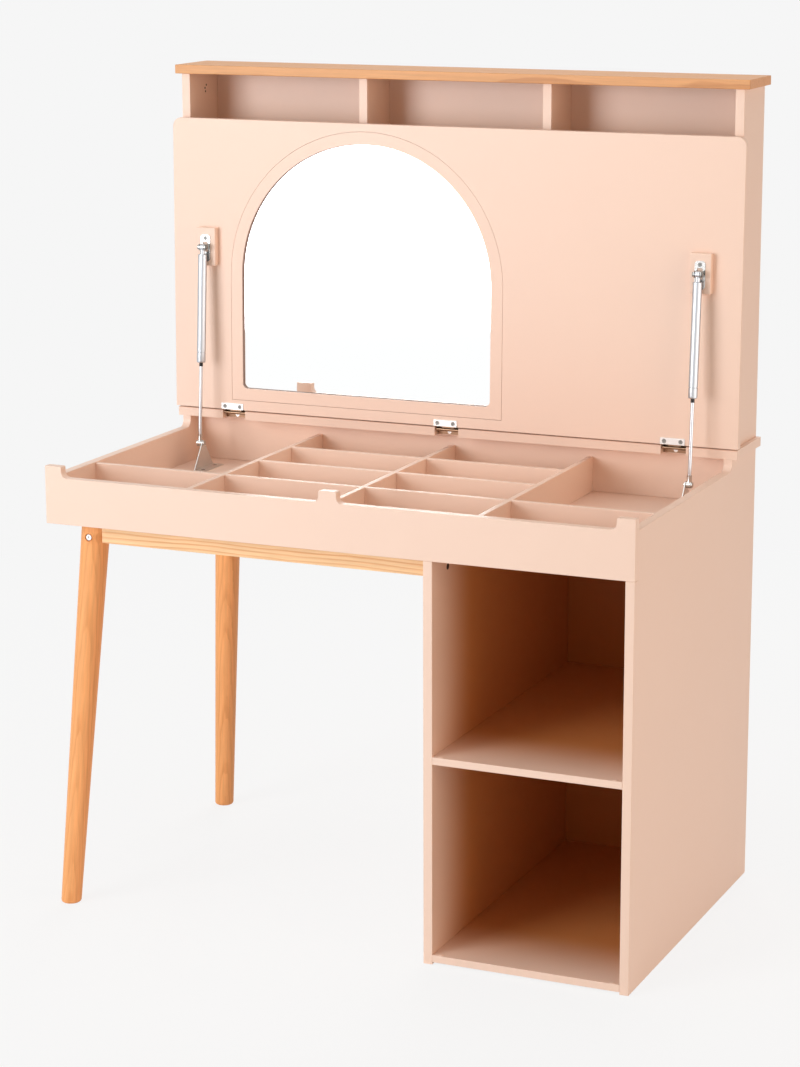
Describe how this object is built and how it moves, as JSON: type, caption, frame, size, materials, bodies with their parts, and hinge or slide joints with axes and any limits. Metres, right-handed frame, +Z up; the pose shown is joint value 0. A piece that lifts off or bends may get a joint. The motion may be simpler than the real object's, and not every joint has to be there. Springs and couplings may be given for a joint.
{
  "type": "flip top vanity table",
  "caption": "Vanity table with a flip-up mirrored lid over a divided tray, held by gas struts, on a side cabinet and splayed legs, with a shelf hutch behind.",
  "frame": {"origin": "on the floor, in the middle of the bounding box", "axes": "+X to the right seen from the front, where the cabinet stands, +Y to the back and +Z up"},
  "size_m": [1.02, 0.6, 1.35],
  "materials": {
    "blush_lacquer": "satin lacquer",
    "oiled_pine": "oiled, fine long grain",
    "top_wood": "satin lacquer over wood",
    "dowel_beech": "raw wood",
    "mirror": "polished",
    "bright_nickel": "bright",
    "zinc_steel": "satin",
    "strut_silver": "satin",
    "bright_chrome": "polished",
    "gland_black": "matt"
  },
  "bodies": {
    "desk": {"front_apron": "blush_lacquer", "tray_side_left": "blush_lacquer", "cabinet_side_right": "blush_lacquer", "tray_back": "blush_lacquer", "desk_back": "blush_lacquer", "tray_floor": "blush_lacquer", "tray_divider_left": "blush_lacquer", "tray_divider_centre": "blush_lacquer", "tray_divider_right": "blush_lacquer", "cross_divider_left": "blush_lacquer", "cross_dividers_centre_left": "blush_lacquer", "cross_dividers_centre_right": "blush_lacquer", "cross_divider_right": "blush_lacquer", "rear_strip": "blush_lacquer", "cabinet_side_left": "blush_lacquer", "cabinet_back": "blush_lacquer", "middle_shelf": "blush_lacquer", "bottom_shelf": "blush_lacquer", "shelf_fixing_covers": "blush_lacquer", "leg_front_left": "oiled_pine", "leg_back_left": "oiled_pine", "front_rail": "oiled_pine", "rear_rail": "oiled_pine", "side_rail": "oiled_pine", "leg_bolts": "zinc_steel", "barrel_nuts": "zinc_steel", "hutch_side_left": "blush_lacquer", "hutch_side_right": "blush_lacquer", "hutch_back": "blush_lacquer", "hutch_shelf": "blush_lacquer", "hutch_divider_left": "blush_lacquer", "hutch_divider_right": "blush_lacquer", "top_board": "top_wood", "desk_dowels": "dowel_beech", "hutch_dowels": "dowel_beech", "hinge_strip_leaves": "bright_nickel", "hinge_strip_screws": "zinc_steel", "hinge_pins": "zinc_steel", "strut_foot_brackets": "bright_nickel", "strut_foot_studs": "bright_nickel", "strut_foot_screws": "zinc_steel"},
    "lid": {"lid_panel": "blush_lacquer", "mirror_frame": "blush_lacquer", "mirror_glass": "mirror", "strut_pad_left": "blush_lacquer", "strut_pad_right": "blush_lacquer", "hinge_lid_leaves": "bright_nickel", "hinge_lid_screws": "zinc_steel", "strut_head_brackets": "bright_nickel", "strut_head_screws": "zinc_steel", "strut_head_pins": "bright_nickel"},
    "strut_tube_left": {"strut_tube_left": "strut_silver", "strut_gland_left": "gland_black"},
    "strut_rod_left": {"strut_rod_left": "bright_chrome", "strut_rod_end_left": "bright_nickel"},
    "strut_tube_right": {"strut_tube_right": "strut_silver", "strut_gland_right": "gland_black"},
    "strut_rod_right": {"strut_rod_right": "bright_chrome", "strut_rod_end_right": "bright_nickel"}
  },
  "joints": [
    {"name": "lid_hinge", "type": "hinge", "parent": "desk", "child": "lid", "pos_m": [0, 0.176, 0.7555], "axis": [1, 0, 0], "range_deg": [0, 91]},
    {"name": "strut_head_pivot_left", "type": "hinge", "parent": "lid", "child": "strut_tube_left", "pos_m": [-0.443, 0.14705, 1.04505], "axis": [1, 0, 0], "range_deg": [-0.5, 0]},
    {"name": "strut_slide_left", "type": "slide", "parent": "strut_tube_left", "child": "strut_rod_left", "axis": [0, 0.0682, 0.9977], "range_m": [0, 0.101]},
    {"name": "strut_head_pivot_right", "type": "hinge", "parent": "lid", "child": "strut_tube_right", "pos_m": [0.443, 0.14705, 1.04505], "axis": [1, 0, 0], "range_deg": [-0.5, 0]},
    {"name": "strut_slide_right", "type": "slide", "parent": "strut_tube_right", "child": "strut_rod_right", "axis": [0, 0.0682, 0.9977], "range_m": [0, 0.101]}
  ],
  "couplings": [
    {"joint": "strut_head_pivot_left", "follows": "lid_hinge", "ratio": -0.0038254},
    {"joint": "strut_slide_left", "follows": "lid_hinge", "m_per_rad": 0.063247},
    {"joint": "strut_head_pivot_right", "follows": "lid_hinge", "ratio": -0.0038254},
    {"joint": "strut_slide_right", "follows": "lid_hinge", "m_per_rad": 0.063247}
  ]
}
